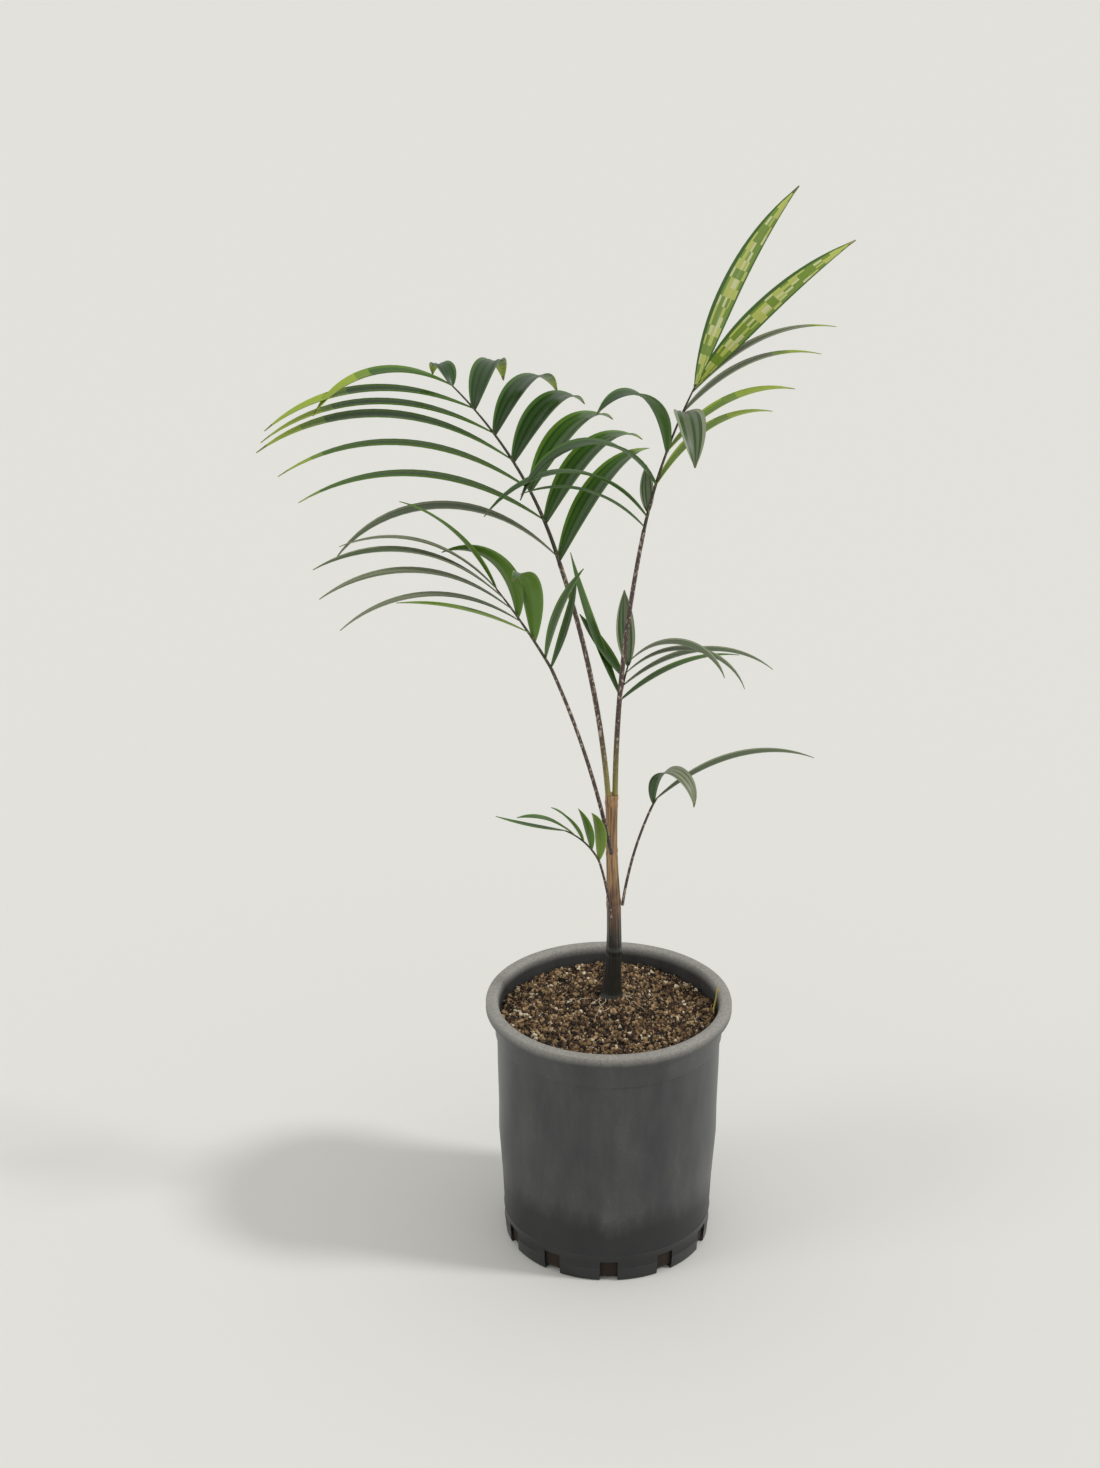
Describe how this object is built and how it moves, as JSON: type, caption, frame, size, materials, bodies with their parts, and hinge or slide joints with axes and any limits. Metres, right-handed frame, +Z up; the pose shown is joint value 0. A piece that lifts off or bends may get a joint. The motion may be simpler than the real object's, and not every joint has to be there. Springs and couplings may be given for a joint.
{
  "type": "potted veitchia winin palm",
  "caption": "Young feather palm on one slim stem with arching fronds on long petioles, growing in potting mix in a black nursery pot.",
  "frame": {"origin": "centre of the pot's flat underside", "axes": "+Z up along the stem, +X to the right and -Y towards the viewer as in the picture"},
  "size_m": [0.3608, 0.1719, 0.7133],
  "materials": {
    "pot": "satin",
    "soil": "matte",
    "stem": "satin",
    "petiole": "satin",
    "leaf": "satin"
  },
  "bodies": {
    "root": {"pot": "pot", "soil": "soil", "stem": "stem", "petiole_upper_left": "petiole", "petiole_lower_left": "petiole", "petiole_upper_right": "petiole", "petiole_middle_right": "petiole", "petiole_low_right": "petiole", "petiole_low_left": "petiole", "frond_upper_left": "leaf", "frond_lower_left": "leaf", "frond_upper_right": "leaf", "frond_middle_right": "leaf", "frond_low_right": "leaf", "frond_low_left": "leaf"}
  },
  "joints": []
}
